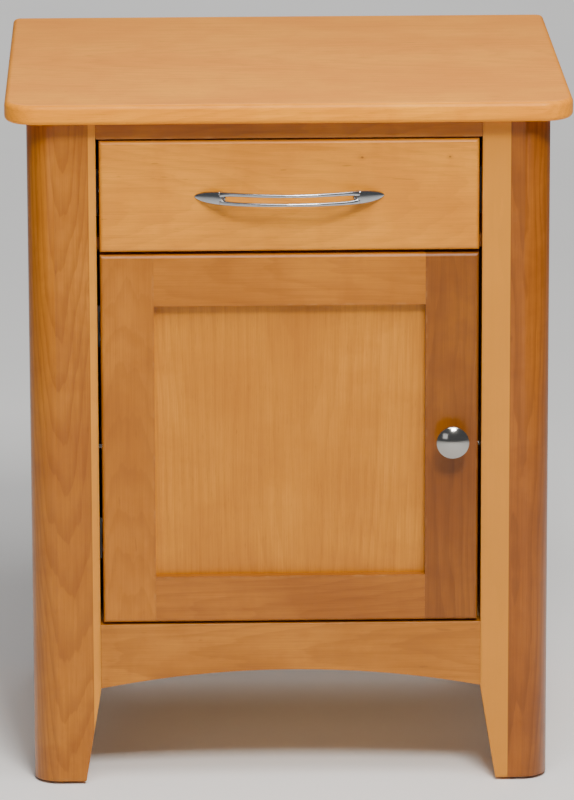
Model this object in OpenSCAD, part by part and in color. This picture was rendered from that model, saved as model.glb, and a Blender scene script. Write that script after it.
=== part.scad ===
/* [Case] */
// Overall height from the floor to the top's upper face
overall_height = 664; // [600:1:760]
// Width across the outer faces of the legs
case_width = 490; // [440:1:560]
// Depth from the front of the legs to the back of the case
case_depth = 425; // [400:1:480]
// Height of the underside of the door opening above the floor
opening_bottom = 158; // [140:1:180]
// Height of the straight rail between the top and the drawer
top_rail_height = 17; // [14:1:24]

/* [Top] */
// Thickness of the top
top_thickness = 19; // [16:1:25]
// How far the top overhangs each side of the case
top_side_overhang = 20; // [10:0.5:30]
// How far the top overhangs the front of the case
top_front_overhang = 20; // [10:1:24]
// How far the top overhangs the back of the case
top_back_overhang = 12; // [0:1:20]
// Plan radius of the top's two front corners
top_corner_radius = 30; // [15:1:45]
// Radius that softens the top's edges
top_edge_radius = 5; // [2:0.5:7]

/* [Legs] */
// Width of a leg across the front
leg_width = 64.5; // [58:0.5:70]
// Depth of a leg from front to back
leg_depth = 57; // [50:1:64]
// Radius of a leg's outer vertical corner
leg_corner_radius = 25; // [12:1:32]
// Height over which a leg tapers towards the foot
taper_height = 95; // [70:1:120]
// How much narrower a leg is at the foot
taper_amount = 15; // [5:1:20]

/* [Fronts] */
// Thickness of the drawer front and of the door frame
front_thickness = 20; // [20:1:22]
// Height of the drawer front
drawer_front_height = 106; // [96:1:120]
// Gap beside the drawer front and the door
side_gap = 3; // [3:0.5:4]
// Gap above the drawer front and below the door
end_gap = 2; // [2:0.5:4]
// Gap between the drawer front and the door
middle_gap = 3; // [2:0.5:4]
// Width of the door's two stiles
stile_width = 50; // [46:1:60]
// Height of the door's top rail
door_top_rail_height = 49; // [46:1:60]
// Height of the door's bottom rail
door_bottom_rail_height = 45; // [42:1:60]
// Rise of the arch under the aprons
arch_rise = 17.3; // [8:0.1:30]

/* [Handles] */
// Length of the drawer pull
pull_length = 178; // [166:1:200]
// How far the drawer pull stands out
pull_reach = 24; // [22:1:25]
// Distance between the drawer pull's screws
pull_screw_spacing = 128; // [128:1:140]
// Diameter of the door knob
knob_diameter = 31.4; // [28:0.1:36]
// How far the door knob stands out
knob_reach = 25; // [24:1:28]

/* [Drawer] */
// Height of the drawer box
drawer_box_height = 80; // [70:1:82]
// Thickness of the drawer box's sides
drawer_side_thickness = 12; // [10:1:14]
// Length of the drawer slides
slide_length = 375; // [340:5:375]

/* [Hidden] */
$fn = 48;
fine_fn = 96;

// Frame: the origin is under the middle of the whole cabinet, handles included.
handle_reach = max(0, max(knob_reach, pull_reach) - top_front_overhang);
top_depth = case_depth + top_front_overhang + top_back_overhang;
rear_y = (top_depth + handle_reach) / 2 - top_back_overhang;
front_y = rear_y - case_depth;
half_case = case_width / 2;
half_open = half_case - leg_width;
top_width = case_width + 2 * top_side_overhang;
top_back_corner = 8;
top_z = overall_height - top_thickness;
leg_inner_y = front_y + leg_depth;
rear_leg_y = rear_y - leg_depth;
side_span = rear_leg_y - leg_inner_y;

// Heights of the fronts
opening_top = top_z - top_rail_height;
door_z0 = opening_bottom + end_gap;
drawer_z1 = opening_top - end_gap;
drawer_z0 = drawer_z1 - drawer_front_height;
door_z1 = drawer_z0 - middle_gap;
drawer_mid_z = (drawer_z0 + drawer_z1) / 2;
door_mid_z = (door_z0 + door_z1) / 2;
front_half = half_open - side_gap;
front_back_y = front_y + front_thickness;
edge_radius = 4;

// Case rails, panels and their joints
glide_height = 3;
glide_radius = 11;
glide_inset = 22;
glide_pin_radius = 1.5;
glide_pin_length = 12;
rail_thickness = 20;
rail_tenon = 25;
tenon_thickness = 10;
tenon_shoulder = 6;
top_rail_depth = 45;
side_setback = 4;
side_outer_x = half_case - side_setback;
side_inner_x = side_outer_x - rail_thickness;
side_top_rail_z = top_z - 75;
panel_thickness = 8;
panel_groove = 8;
side_panel_x = side_outer_x - 6 - panel_thickness;
back_rail_z = top_z - 55;
back_panel_thickness = 6;
back_panel_y = rear_y - 14;
arch_z = taper_height;
arch_radius = (half_open * half_open + arch_rise * arch_rise) / (2 * arch_rise);
arch_centre_z = arch_z + arch_rise - arch_radius;
divider_height = 12;
divider_depth = 45;
divider_shoulder = 2.5;
divider_z0 = door_z1 + 1.5;
divider_z1 = divider_z0 + divider_height;
divider_y = front_back_y + 1;
floor_thickness = 15;
dust_thickness = 6;
cleat_size = 16;
cleat_height = 20;
shelf_thickness = 18;
shelf_z = 325;
shelf_clearance = 2;
shelf_pin_radius = 2.5;
shelf_pin_out = 9;
shelf_pin_in = 10;
pin_clearance = 0.05;
shelf_front_y = front_back_y + 20;
shelf_back_y = back_panel_y - 16;
shelf_pin_y = [leg_inner_y - 14, rear_leg_y + 18];

// Drawer box, slides and their screws
slide_side = 12.7;
drawer_half = half_open - slide_side;
drawer_box_z0 = drawer_mid_z - 1 - drawer_box_height / 2;
drawer_box_z1 = drawer_box_z0 + drawer_box_height;
drawer_back_y = front_back_y + 378;
drawer_bottom_z = drawer_box_z0 + 8;
drawer_bottom_thickness = 6;
drawer_groove = 5;
tail_count = 4;
tail_pitch = drawer_box_height / tail_count;
slide_z = (drawer_box_z0 + drawer_box_z1) / 2;
slide_y = front_back_y + 6;
case_member_half = 22.5;
case_member_depth = 9.5;
middle_member_half = 19;
middle_member_depth = 6.5;
middle_member_x = half_open - 4;
drawer_member_half = 15.5;
drawer_member_depth = 6.2;
slide_sheet = 1.5;

// Screws
slot_width = 0.8;
slot_depth = 0.6;
screw_radius = 1.75;
screw_head_radius = 3.2;
screw_head_height = 1.2;
screw_length = 14;
machine_radius = 2;
machine_head_radius = 4;
machine_head_height = 2.5;
case_slide_screw_y = [front_y + 40, rear_y - 36];
drawer_slide_screw_y = [front_y + 60, front_y + 200, front_y + 340];
bracket_y = [leg_inner_y + 45, rear_leg_y - 45];
bracket_sheet = 2;
bracket_leg = 18;
bracket_half = 12;

// Concealed hinges: every place is measured from the pivot
door_edge_x = -front_half;
pivot_x = door_edge_x + 14;
pivot_y = front_y + 11.5;
hinge_heights = [door_z1 - 75, door_z0 + 75];
cup_x = door_edge_x + 21;
cup_radius = 17.5;
cup_wall = 1.2;
cup_depth = 13;
cup_floor = 0.8;
cup_flange = 1.2;
cup_flange_radius = 19;
cup_screw_z = 24;
hinge_pin_radius = 1.5;
hinge_running_gap = 0.05;
hinge_hub_radius = 3.2;
arm_half_height = 5;
arm_sheet = 2;
arm_inner_radius = 17.5;
arm_outer_radius = 20;
arm_entry_angle = 27;
arm_leave_angle = 128;
arm_bend_y = 18;
plate_thickness = 2;
plate_y0 = pivot_y + 21;
plate_y1 = pivot_y + 47;
plate_half_height = 20;
plate_screw_z = 14;
plate_screw_y = pivot_y + 34;

// Catch
catch_x = front_half - 28;
catch_width = 40;
catch_height = 12;
catch_depth = 15;
catch_y = front_back_y + 1.6;
magnet_width = 24;
strike_thickness = 1.2;
catch_screw_x = catch_width / 2 - 4;

// Door pieces
door_panel_y = front_y + 9;
door_groove = 8;
door_tenon = 20;
knob_x = front_half - stile_width / 2;
knob_neck_radius = 6;

// ---------- shared shapes ----------

// A box given by its low and high corners
module block(low, high) {
    translate(low) cube(high - low);
}

// Copies its children mirrored to the other side of the cabinet
module both_sides() {
    children();
    mirror([1, 0, 0]) children();
}

// Shows its children on one side: 1 is the right side, -1 the left
module on_side(side) {
    scale_x = side > 0 ? 0 : 1;
    mirror([scale_x, 0, 0]) children();
}

// An upright prism from a plan outline
module upright(z0, z1) {
    translate([0, 0, z0]) linear_extrude(z1 - z0) children();
}

// A prism along Y from an outline drawn in X and Z
module along_y(y0, y1) {
    translate([0, y1, 0]) rotate([90, 0, 0]) linear_extrude(y1 - y0) children();
}

// A prism along X from an outline drawn in Y and Z
module along_x(x0, x1) {
    translate([x0, 0, 0]) rotate([90, 0, 90]) linear_extrude(x1 - x0) children();
}

function arc(centre, radius, from, to, steps) = [
    for (i = [0 : steps])
        let (a = from + (to - from) * i / steps)
            centre + radius * [cos(a), sin(a)]
];

// Rectangle whose two low-Y corners are rounded
module eased_plan(x0, x1, y0, y1, radius) {
    steps = 6;
    polygon(concat(
        arc([x0 + radius, y0 + radius], radius, 180, 270, steps),
        arc([x1 - radius, y0 + radius], radius, 270, 360, steps),
        [[x1, y1], [x0, y1]]
    ));
}

// Board with its front edges rounded on all four sides
module eased_board(x0, x1, y0, y1, z0, z1, radius) {
    intersection() {
        upright(z0, z1) eased_plan(x0, x1, y0, y1, radius);
        along_x(x0, x1) rotate(90) mirror([0, 1, 0]) eased_plan(z0, z1, y0, y1, radius);
    }
}

// A pan head screw along +Y with a cross slot, its head's underside at the origin
module screw(radius, length, head_radius, head_height) {
    rotate([-90, 0, 0]) cylinder(h = length, r = radius);
    rotate([90, 0, 0]) difference() {
        cylinder(h = head_height, r = head_radius);
        for (turn = [0, 90])
            rotate([0, 0, turn])
                translate([-head_radius * 0.6, -slot_width / 2, head_height - slot_depth])
                    cube([head_radius * 1.2, slot_width, slot_depth + 1]);
    }
}

// A hole for a screw along +Y from the origin
module screw_hole(radius, length) {
    rotate([-90, 0, 0]) cylinder(h = length, r = radius + pin_clearance);
}

module wood_screw() {
    screw(screw_radius, screw_length, screw_head_radius, screw_head_height);
}

module wood_hole() {
    screw_hole(screw_radius, screw_length);
}

// Turn children that point along +Y to point along +X, -X or -Y
module towards_right() {
    rotate([0, 0, -90]) children();
}

module towards_left() {
    rotate([0, 0, 90]) children();
}

module towards_front() {
    rotate([0, 0, 180]) children();
}

// ---------- case ----------

// Plan outline of the top, drawn in from its edge by an inset
function top_outline(inset) = let (
    half = top_width / 2,
    low_y = front_y - top_front_overhang,
    high_y = rear_y + top_back_overhang,
    front = top_corner_radius,
    back = top_back_corner,
    steps = 14
) concat(
    arc([-half + front, low_y + front], front - inset, 180, 270, steps),
    arc([half - front, low_y + front], front - inset, 270, 360, steps),
    arc([half - back, high_y - back], back - inset, 0, 90, steps),
    arc([-half + back, high_y - back], back - inset, 90, 180, steps)
);

// Heights and insets up the softened edge of the top
function top_edge_levels() = let (steps = 6, radius = top_edge_radius) concat(
    [for (i = [0 : steps]) let (a = 90 * i / steps)
        [radius * (1 - sin(a)), radius * (1 - cos(a))]],
    [for (i = [0 : steps]) let (a = 90 * i / steps)
        [radius * (1 - cos(a)), top_thickness - radius * (1 - sin(a))]]
);

module top_slab() {
    levels = top_edge_levels();
    count = len(top_outline(0));
    points = [
        for (level = levels)
            for (p = top_outline(level[0]))
                [p[0], p[1], top_z + level[1]]
    ];
    top_ring = (len(levels) - 1) * count;
    walls = [
        for (k = [0 : len(levels) - 2])
            for (i = [0 : count - 1])
                let (j = (i + 1) % count, low = k * count, high = low + count)
                    [low + i, high + i, high + j, low + j]
    ];
    color("#c98a3c") polyhedron(
        points = points,
        faces = concat(
            walls,
            [[for (i = [0 : count - 1]) i]],
            [[for (i = [0 : count - 1]) top_ring + count - 1 - i]]
        )
    );
}

// Plan of a front left leg: only the outer front corner is rounded
module leg_plan() {
    radius = leg_corner_radius;
    difference() {
        translate([-half_case, front_y]) square([leg_width, leg_depth]);
        translate([-half_case, front_y]) difference() {
            translate([-1, -1]) square([radius + 1, radius + 1]);
            translate([radius, radius]) circle(r = radius, $fn = fine_fn);
        }
    }
}

// Leg blank at the front left: rounded outside, tapered inside towards the foot
module leg_blank() {
    foot_width = leg_width - taper_amount;
    foot_depth = leg_depth - taper_amount;
    intersection() {
        upright(glide_height, top_z) leg_plan();
        along_y(front_y, leg_inner_y) polygon([
            [-half_case, glide_height],
            [-half_case + foot_width, glide_height],
            [-half_open, taper_height],
            [-half_open, top_z],
            [-half_case, top_z]
        ]);
        along_x(-half_case, -half_open) polygon([
            [front_y, glide_height],
            [front_y + foot_depth, glide_height],
            [leg_inner_y, taper_height],
            [leg_inner_y, top_z],
            [front_y, top_z]
        ]);
    }
}

module front_leg(side) {
    on_side(-side) difference() {
        leg_blank();
        glide_pin_hole(-half_case + glide_inset, front_y + glide_inset);
        front_tenons();
        side_tenons();
        side_panel_board();
        shelf_pin_hole(shelf_pin_y[0]);
        slide_screw_hole(case_slide_screw_y[0]);
        if (side < 0)
            for (z = hinge_heights)
                for (dz = [-plate_screw_z, plate_screw_z])
                    translate([-half_open + plate_thickness, plate_screw_y, z + dz])
                        towards_left() wood_hole();
    }
}

module rear_leg(side) {
    on_side(-side) difference() {
        translate([0, front_y + rear_y, 0]) mirror([0, 1, 0]) leg_blank();
        glide_pin_hole(-half_case + glide_inset, rear_y - glide_inset);
        rear_tenons();
        side_tenons();
        side_panel_board();
        back_panel_board();
        shelf_pin_hole(shelf_pin_y[1]);
        slide_screw_hole(case_slide_screw_y[1]);
    }
}

module glide_pin_hole(x, y) {
    translate([x, y, 0]) cylinder(h = glide_height + glide_pin_length,
        r = glide_pin_radius + pin_clearance);
}

module shelf_pin_hole(y) {
    translate([-half_open - shelf_pin_in, y, shelf_z - shelf_pin_radius])
        rotate([0, 90, 0])
            cylinder(h = shelf_pin_in + 1, r = shelf_pin_radius + pin_clearance);
}

module slide_screw_hole(y) {
    translate([-half_open + slide_sheet, y, slide_z]) towards_left() wood_hole();
}

module front_tenons() {
    tenon_y = front_y + tenon_thickness / 2;
    both_sides() {
        block([-half_open - rail_tenon, front_y + 8, opening_top + 3],
            [-half_open, front_y + 37, top_z - 3]);
        block([-half_open - rail_tenon, tenon_y, arch_z + tenon_shoulder],
            [-half_open, tenon_y + tenon_thickness, opening_bottom - tenon_shoulder]);
        block([-half_open - rail_tenon, divider_y + 4, divider_z0 + divider_shoulder],
            [-half_open, divider_y + 29, divider_z1 - divider_shoulder]);
    }
}

module rear_tenons() {
    tenon_y = rear_y - tenon_thickness * 1.5;
    both_sides() {
        block([-half_open - rail_tenon, tenon_y, back_rail_z + tenon_shoulder],
            [-half_open, tenon_y + tenon_thickness, top_z - tenon_shoulder]);
        block([-half_open - rail_tenon, tenon_y, arch_z + arch_rise + tenon_shoulder],
            [-half_open, tenon_y + tenon_thickness, opening_bottom - tenon_shoulder]);
    }
}

module side_tenons() {
    tenon_x = -side_outer_x + (rail_thickness - tenon_thickness) / 2;
    for (y = [leg_inner_y - rail_tenon, rear_leg_y])
        for (span = [[side_top_rail_z, top_z], [arch_z, opening_bottom]])
            block([tenon_x, y, span[0] + tenon_shoulder],
                [tenon_x + tenon_thickness, y + rail_tenon, span[1] - tenon_shoulder]);
}

// Tenons of one rail only: those that lie between two heights
module tenons_between(z0, z1) {
    intersection() {
        children();
        block([-half_case, front_y, z0], [half_case, rear_y, z1]);
    }
}

module front_top_rail() {
    color("#c48436") union() {
        block([-half_open, front_y, opening_top], [half_open, front_y + top_rail_depth, top_z]);
        tenons_between(opening_top, top_z) front_tenons();
    }
}

module front_apron() {
    color("#bd7c30") difference() {
        union() {
            block([-half_open, front_y, arch_z],
                [half_open, front_y + rail_thickness, opening_bottom]);
            tenons_between(arch_z, opening_bottom) front_tenons();
        }
        translate([0, front_y - 1, arch_centre_z]) rotate([-90, 0, 0])
            cylinder(h = rail_thickness + 2, r = arch_radius, $fn = 360);
    }
}

module divider_rail() {
    color("#c48436") difference() {
        union() {
            block([-half_open, divider_y, divider_z0],
                [half_open, divider_y + divider_depth, divider_z1]);
            tenons_between(divider_z0, divider_z1) front_tenons();
        }
        catch_screw_places() wood_hole();
    }
}

module rear_top_rail() {
    color("#b97a32") difference() {
        union() {
            block([-half_open, rear_y - rail_thickness, back_rail_z], [half_open, rear_y, top_z]);
            tenons_between(back_rail_z, top_z) rear_tenons();
        }
        back_panel_board();
    }
}

module rear_bottom_rail() {
    color("#b97a32") difference() {
        union() {
            block([-half_open, rear_y - rail_thickness, arch_z + arch_rise],
                [half_open, rear_y, opening_bottom]);
            tenons_between(arch_z, opening_bottom) rear_tenons();
        }
        back_panel_board();
    }
}

module back_panel_board() {
    block([-half_open - panel_groove, back_panel_y, opening_bottom - panel_groove],
        [half_open + panel_groove, back_panel_y + back_panel_thickness, back_rail_z + panel_groove]);
}

module back_panel() {
    color("#d8b27c") back_panel_board();
}

module side_panel_board() {
    block([-side_panel_x - panel_thickness, leg_inner_y - panel_groove, opening_bottom - panel_groove],
        [-side_panel_x, rear_leg_y + panel_groove, side_top_rail_z + panel_groove]);
}

module side_top_rail(side) {
    on_side(-side) difference() {
        union() {
            block([-side_outer_x, leg_inner_y, side_top_rail_z], [-side_inner_x, rear_leg_y, top_z]);
            tenons_between(side_top_rail_z, top_z) side_tenons();
        }
        side_panel_board();
        bracket_screw_holes();
    }
}

module side_bottom_rail(side) {
    middle_y = (leg_inner_y + rear_leg_y) / 2;
    side_rise = arch_radius - sqrt(arch_radius * arch_radius - side_span * side_span / 4);
    on_side(-side) difference() {
        union() {
            block([-side_outer_x, leg_inner_y, arch_z], [-side_inner_x, rear_leg_y, opening_bottom]);
            tenons_between(arch_z, opening_bottom) side_tenons();
        }
        translate([-side_outer_x - 1, middle_y, arch_z + side_rise - arch_radius])
            rotate([0, 90, 0]) cylinder(h = rail_thickness + 2, r = arch_radius, $fn = 360);
        side_panel_board();
    }
}

module left_side_top_rail() {
    color("#bd7c30") side_top_rail(-1);
}

module right_side_top_rail() {
    color("#bd7c30") side_top_rail(1);
}

module left_side_bottom_rail() {
    color("#bd7c30") side_bottom_rail(-1);
}

module right_side_bottom_rail() {
    color("#bd7c30") side_bottom_rail(1);
}

module left_side_panel() {
    color("#cf9144") side_panel_board();
}

module right_side_panel() {
    color("#cf9144") on_side(-1) side_panel_board();
}

module front_left_leg() {
    color("#b5742c") front_leg(-1);
}

module front_right_leg() {
    color("#b5742c") front_leg(1);
}

module rear_left_leg() {
    color("#b5742c") rear_leg(-1);
}

module rear_right_leg() {
    color("#b5742c") rear_leg(1);
}

// Board that fills the case between the legs and reaches the side rails
module notched_board(z0, z1, y0, y1) {
    upright(z0, z1) union() {
        translate([-half_open, y0]) square([2 * half_open, y1 - y0]);
        translate([-side_inner_x, max(y0, leg_inner_y)])
            square([2 * side_inner_x, rear_leg_y - max(y0, leg_inner_y)]);
    }
}

module cabinet_floor() {
    color("#cb9550")
        notched_board(opening_bottom - floor_thickness, opening_bottom,
            front_y + rail_thickness, rear_y - rail_thickness);
}

module dust_panel() {
    color("#d8b27c")
        notched_board(divider_z1 - dust_thickness, divider_z1,
            divider_y + divider_depth, rear_y - rail_thickness);
}

// Pair of cleats along the sides, their tops at a given height
module side_cleats(z1) {
    both_sides()
        block([side_inner_x - cleat_size, leg_inner_y, z1 - cleat_height],
            [side_inner_x, rear_leg_y, z1]);
}

module floor_cleats() {
    color("#c9a26a") side_cleats(opening_bottom - floor_thickness);
}

// The upper cleats lie against the side panels, set in from the rails
module dust_panel_cleats() {
    z1 = divider_z1 - dust_thickness;
    color("#c9a26a") both_sides()
        block([side_panel_x - cleat_size, leg_inner_y, z1 - cleat_height],
            [side_panel_x, rear_leg_y, z1]);
}

module adjustable_shelf() {
    half = half_open - shelf_clearance;
    color("#cb9550") eased_board(-half, half, shelf_front_y, shelf_back_y,
        shelf_z, shelf_z + shelf_thickness, 2);
}

module shelf_pins() {
    length = shelf_pin_in + shelf_pin_out;
    color("#c9c9c6") both_sides()
        for (y = shelf_pin_y)
            translate([-half_open - shelf_pin_in, y, shelf_z - shelf_pin_radius])
                rotate([0, 90, 0]) cylinder(h = length, r = shelf_pin_radius);
}

module foot_glides() {
    color("#8f8b84") both_sides()
        for (y = [front_y + glide_inset, rear_y - glide_inset])
            translate([-half_case + glide_inset, y, 0]) {
                cylinder(h = glide_height, r = glide_radius);
                cylinder(h = glide_height + glide_pin_length, r = glide_pin_radius);
            }
}

// Places four things at the brackets under the top, each pointing to the left side
module at_brackets() {
    both_sides()
        for (y = bracket_y)
            translate([-side_inner_x, y, top_z]) children();
}

module bracket_screw_holes() {
    at_brackets() bracket_side_place() wood_hole();
}

module bracket_side_place() {
    translate([bracket_sheet, 0, -bracket_leg * 0.6]) towards_left() children();
}

module top_brackets() {
    color("#c4c4c0") at_brackets() difference() {
        union() {
            translate([0, -bracket_half, -bracket_leg])
                cube([bracket_sheet, 2 * bracket_half, bracket_leg]);
            translate([0, -bracket_half, -bracket_sheet])
                cube([bracket_leg, 2 * bracket_half, bracket_sheet]);
        }
        bracket_side_place() wood_hole();
    }
}

// ---------- drawer slides ----------

// Channel along Y on the right side: web at x_web, flanges towards towards_x
module channel(x_web, depth, half_height, opens, y0, length) {
    web_x = opens > 0 ? x_web : x_web - slide_sheet;
    flange_x = opens > 0 ? x_web : x_web - depth;
    block([web_x, y0, slide_z - half_height], [web_x + slide_sheet, y0 + length, slide_z + half_height]);
    for (z = [slide_z - half_height, slide_z + half_height - slide_sheet])
        block([flange_x, y0, z], [flange_x + depth, y0 + length, z + slide_sheet]);
}

module case_member(side) {
    color("#b9bcbf") on_side(side) difference() {
        channel(half_open, case_member_depth, case_member_half, -1, slide_y, slide_length);
        for (y = case_slide_screw_y)
            translate([half_open - slide_sheet, y, slide_z]) towards_right() wood_hole();
    }
}

module middle_member(side) {
    color("#a9adb0") on_side(side)
        channel(middle_member_x, middle_member_depth, middle_member_half, -1, slide_y, slide_length);
}

module drawer_member(side) {
    color("#b9bcbf") on_side(side) difference() {
        channel(drawer_half, drawer_member_depth, drawer_member_half, 1, slide_y, slide_length - 4);
        for (y = drawer_slide_screw_y)
            translate([drawer_half + slide_sheet, y, slide_z]) towards_left() wood_hole();
    }
}

module left_slide_case_member() {
    case_member(-1);
}

module right_slide_case_member() {
    case_member(1);
}

module left_slide_middle_member() {
    middle_member(-1);
}

module right_slide_middle_member() {
    middle_member(1);
}

module left_slide_drawer_member() {
    drawer_member(-1);
}

module right_slide_drawer_member() {
    drawer_member(1);
}

// ---------- concealed hinges ----------

module at_pivot(z) {
    translate([pivot_x, pivot_y, z]) children();
}

// Plan of the fixed arm, seen from above with the pivot at the origin
module arm_plan() {
    wall_x = -half_open + plate_thickness - pivot_x;
    foot_end = plate_y1 - pivot_y;
    circle(r = hinge_hub_radius);
    rotate(arm_entry_angle) translate([0, -arm_sheet / 2])
        square([arm_inner_radius + arm_sheet / 2, arm_sheet]);
    polygon(concat(
        arc([0, 0], arm_outer_radius, arm_entry_angle - 4, arm_leave_angle - 16, 14),
        [[wall_x + arm_sheet, arm_bend_y + 6], [wall_x + arm_sheet, foot_end],
            [wall_x, foot_end], [wall_x, arm_bend_y]],
        arc([0, 0], arm_inner_radius, arm_leave_angle, arm_entry_angle - 4, 14)
    ));
}

module hinge_arm(z) {
    color("#c2c5c8") at_pivot(z) difference() {
        upright(-arm_half_height, arm_half_height) arm_plan();
        translate([0, 0, -arm_half_height - 1])
            cylinder(h = 2 * arm_half_height + 2, r = hinge_pin_radius + hinge_running_gap);
    }
}

module hinge_plate(z) {
    color("#b4b7ba") difference() {
        block([-half_open, plate_y0, z - plate_half_height],
            [-half_open + plate_thickness, plate_y1, z + plate_half_height]);
        for (dz = [-plate_screw_z, plate_screw_z])
            translate([-half_open + plate_thickness, plate_screw_y, z + dz])
                towards_left() wood_hole();
    }
}

// Space that a hinge cup takes in the door: the bore and its two screws
module cup_bore(z) {
    translate([cup_x, front_back_y - cup_depth, z]) rotate([-90, 0, 0])
        cylinder(h = cup_depth + 1, r = cup_radius);
    cup_screw_holes(z);
}

module cup_screw_holes(z) {
    for (dz = [-cup_screw_z, cup_screw_z])
        translate([cup_x, front_back_y + cup_flange, z + dz]) towards_front() wood_hole();
}

module hinge_cup(z) {
    tab_half = cup_screw_z + 6;
    inner_radius = cup_radius - cup_wall;
    color("#c2c5c8") difference() {
        union() {
            translate([cup_x, front_back_y - cup_depth, z]) rotate([-90, 0, 0])
                cylinder(h = cup_depth + cup_flange, r = cup_radius);
            translate([cup_x, front_back_y, z]) rotate([-90, 0, 0])
                cylinder(h = cup_flange, r = cup_flange_radius);
            block([cup_x - 6, front_back_y, z - tab_half],
                [cup_x + 6, front_back_y + cup_flange, z + tab_half]);
        }
        translate([cup_x, front_back_y - cup_depth + cup_floor, z]) rotate([-90, 0, 0])
            cylinder(h = cup_depth + cup_flange, r = inner_radius);
        hinge_pin_shape(z);
        cup_screw_holes(z);
    }
}

module hinge_pin_shape(z) {
    half = sqrt(pow(cup_radius - cup_wall / 2, 2) - pow(cup_x - pivot_x + hinge_pin_radius, 2));
    at_pivot(z) translate([0, 0, -half]) cylinder(h = 2 * half, r = hinge_pin_radius);
}

module upper_hinge_arm() {
    hinge_arm(hinge_heights[0]);
}

module lower_hinge_arm() {
    hinge_arm(hinge_heights[1]);
}

module upper_hinge_plate() {
    hinge_plate(hinge_heights[0]);
}

module lower_hinge_plate() {
    hinge_plate(hinge_heights[1]);
}

module upper_hinge_cup() {
    hinge_cup(hinge_heights[0]);
}

module lower_hinge_cup() {
    hinge_cup(hinge_heights[1]);
}

module upper_hinge_pin() {
    color("#8d9093") hinge_pin_shape(hinge_heights[0]);
}

module lower_hinge_pin() {
    color("#8d9093") hinge_pin_shape(hinge_heights[1]);
}

// ---------- magnetic catch ----------

module catch_screw_places() {
    for (dx = [-catch_screw_x, catch_screw_x])
        translate([catch_x + dx, catch_y + catch_depth / 2, divider_z0 - 3])
            rotate([90, 0, 0]) children();
}

module catch_housing() {
    color("#6b4a2b") difference() {
        block([catch_x - catch_width / 2, catch_y, divider_z0 - catch_height],
            [catch_x + catch_width / 2, catch_y + catch_depth, divider_z0]);
        catch_magnet_block();
        catch_screw_places() wood_hole();
        for (dx = [-catch_screw_x, catch_screw_x])
            translate([catch_x + dx, catch_y + catch_depth / 2, divider_z0 - catch_height - 1])
                cylinder(h = catch_height - 2, r = screw_head_radius + 0.5);
    }
}

module catch_magnet_block() {
    block([catch_x - magnet_width / 2, catch_y - 0.2, divider_z0 - catch_height + 2],
        [catch_x + magnet_width / 2, catch_y + catch_depth - 3, divider_z0 - 3]);
}

module catch_magnet() {
    color("#4a4a4c") catch_magnet_block();
}

module strike_screw_place() {
    translate([catch_x, front_back_y + strike_thickness, divider_z0 - catch_height - 4])
        towards_front() children();
}

module catch_strike_plate() {
    color("#c2c5c8") difference() {
        block([catch_x - magnet_width / 2, front_back_y, divider_z0 - catch_height - 9],
            [catch_x + magnet_width / 2, front_back_y + strike_thickness, door_z1 - 2]);
        strike_screw_place() wood_hole();
    }
}

// ---------- screws of the case ----------

module case_screws() {
    color("#cfd1d3") {
        both_sides()
            for (y = case_slide_screw_y)
                translate([-half_open + slide_sheet, y, slide_z]) towards_left() wood_screw();
        for (z = hinge_heights)
            for (dz = [-plate_screw_z, plate_screw_z])
                translate([-half_open + plate_thickness, plate_screw_y, z + dz])
                    towards_left() wood_screw();
        at_brackets() bracket_side_place() wood_screw();
        catch_screw_places() wood_screw();
    }
}

// ---------- drawer ----------

module pull_screw_places() {
    for (side = [-1, 1])
        translate([side * pull_screw_spacing / 2, 0, drawer_mid_z]) children();
}

module pull_screw_holes() {
    pull_screw_places()
        translate([0, front_y - 1, 0])
            screw_hole(machine_radius, front_thickness + drawer_side_thickness + 2);
}

module drawer_front() {
    color("#c98a3c") difference() {
        eased_board(-front_half, front_half, front_y, front_back_y, drawer_z0, drawer_z1, edge_radius);
        pull_screw_holes();
        drawer_front_screw_places() drawer_front_screw_hole();
    }
}

module drawer_front_screw_places() {
    for (x = [-front_half + 45, front_half - 45])
        for (dz = [-22, 24])
            translate([x, front_back_y + drawer_side_thickness, drawer_mid_z + dz])
                towards_front() children();
}

module drawer_front_screw_hole() {
    screw_hole(screw_radius, 26);
}

// Dovetail tails of one side board, seen from the side: wide at the board's end
module tails(end_y, inner_y) {
    narrow = tail_pitch * 0.30;
    wide = tail_pitch * 0.42;
    for (i = [0 : tail_count - 1]) {
        z = drawer_box_z0 + tail_pitch * (i + 0.5);
        along_x(-drawer_half, -drawer_half + drawer_side_thickness) polygon([
            [inner_y, z - narrow], [end_y, z - wide], [end_y, z + wide], [inner_y, z + narrow]
        ]);
    }
}

module both_tails() {
    tails(front_back_y, front_back_y + drawer_side_thickness);
    back_tails();
}

module back_tails() {
    intersection() {
        tails(drawer_back_y, drawer_back_y - drawer_side_thickness);
        block([-drawer_half, front_y, drawer_bottom_z + drawer_bottom_thickness],
            [drawer_half, rear_y, drawer_box_z1]);
    }
}

module drawer_bottom_board() {
    inner = drawer_half - drawer_side_thickness + drawer_groove;
    block([-inner, front_back_y + drawer_side_thickness - drawer_groove, drawer_bottom_z],
        [inner, drawer_back_y, drawer_bottom_z + drawer_bottom_thickness]);
}

module drawer_side(side) {
    back_board_z = drawer_bottom_z + drawer_bottom_thickness;
    color("#dcb984") on_side(-side) difference() {
        union() {
            block([-drawer_half, front_back_y + drawer_side_thickness, drawer_box_z0],
                [-drawer_half + drawer_side_thickness, drawer_back_y - drawer_side_thickness,
                    drawer_box_z1]);
            block([-drawer_half, drawer_back_y - drawer_side_thickness, drawer_box_z0],
                [-drawer_half + drawer_side_thickness, drawer_back_y, back_board_z]);
            both_tails();
        }
        drawer_bottom_board();
        for (y = drawer_slide_screw_y)
            translate([-drawer_half - slide_sheet, y, slide_z]) towards_right()
                screw_hole(screw_radius, 10);
    }
}

module drawer_left_side() {
    drawer_side(-1);
}

module drawer_right_side() {
    drawer_side(1);
}

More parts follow.
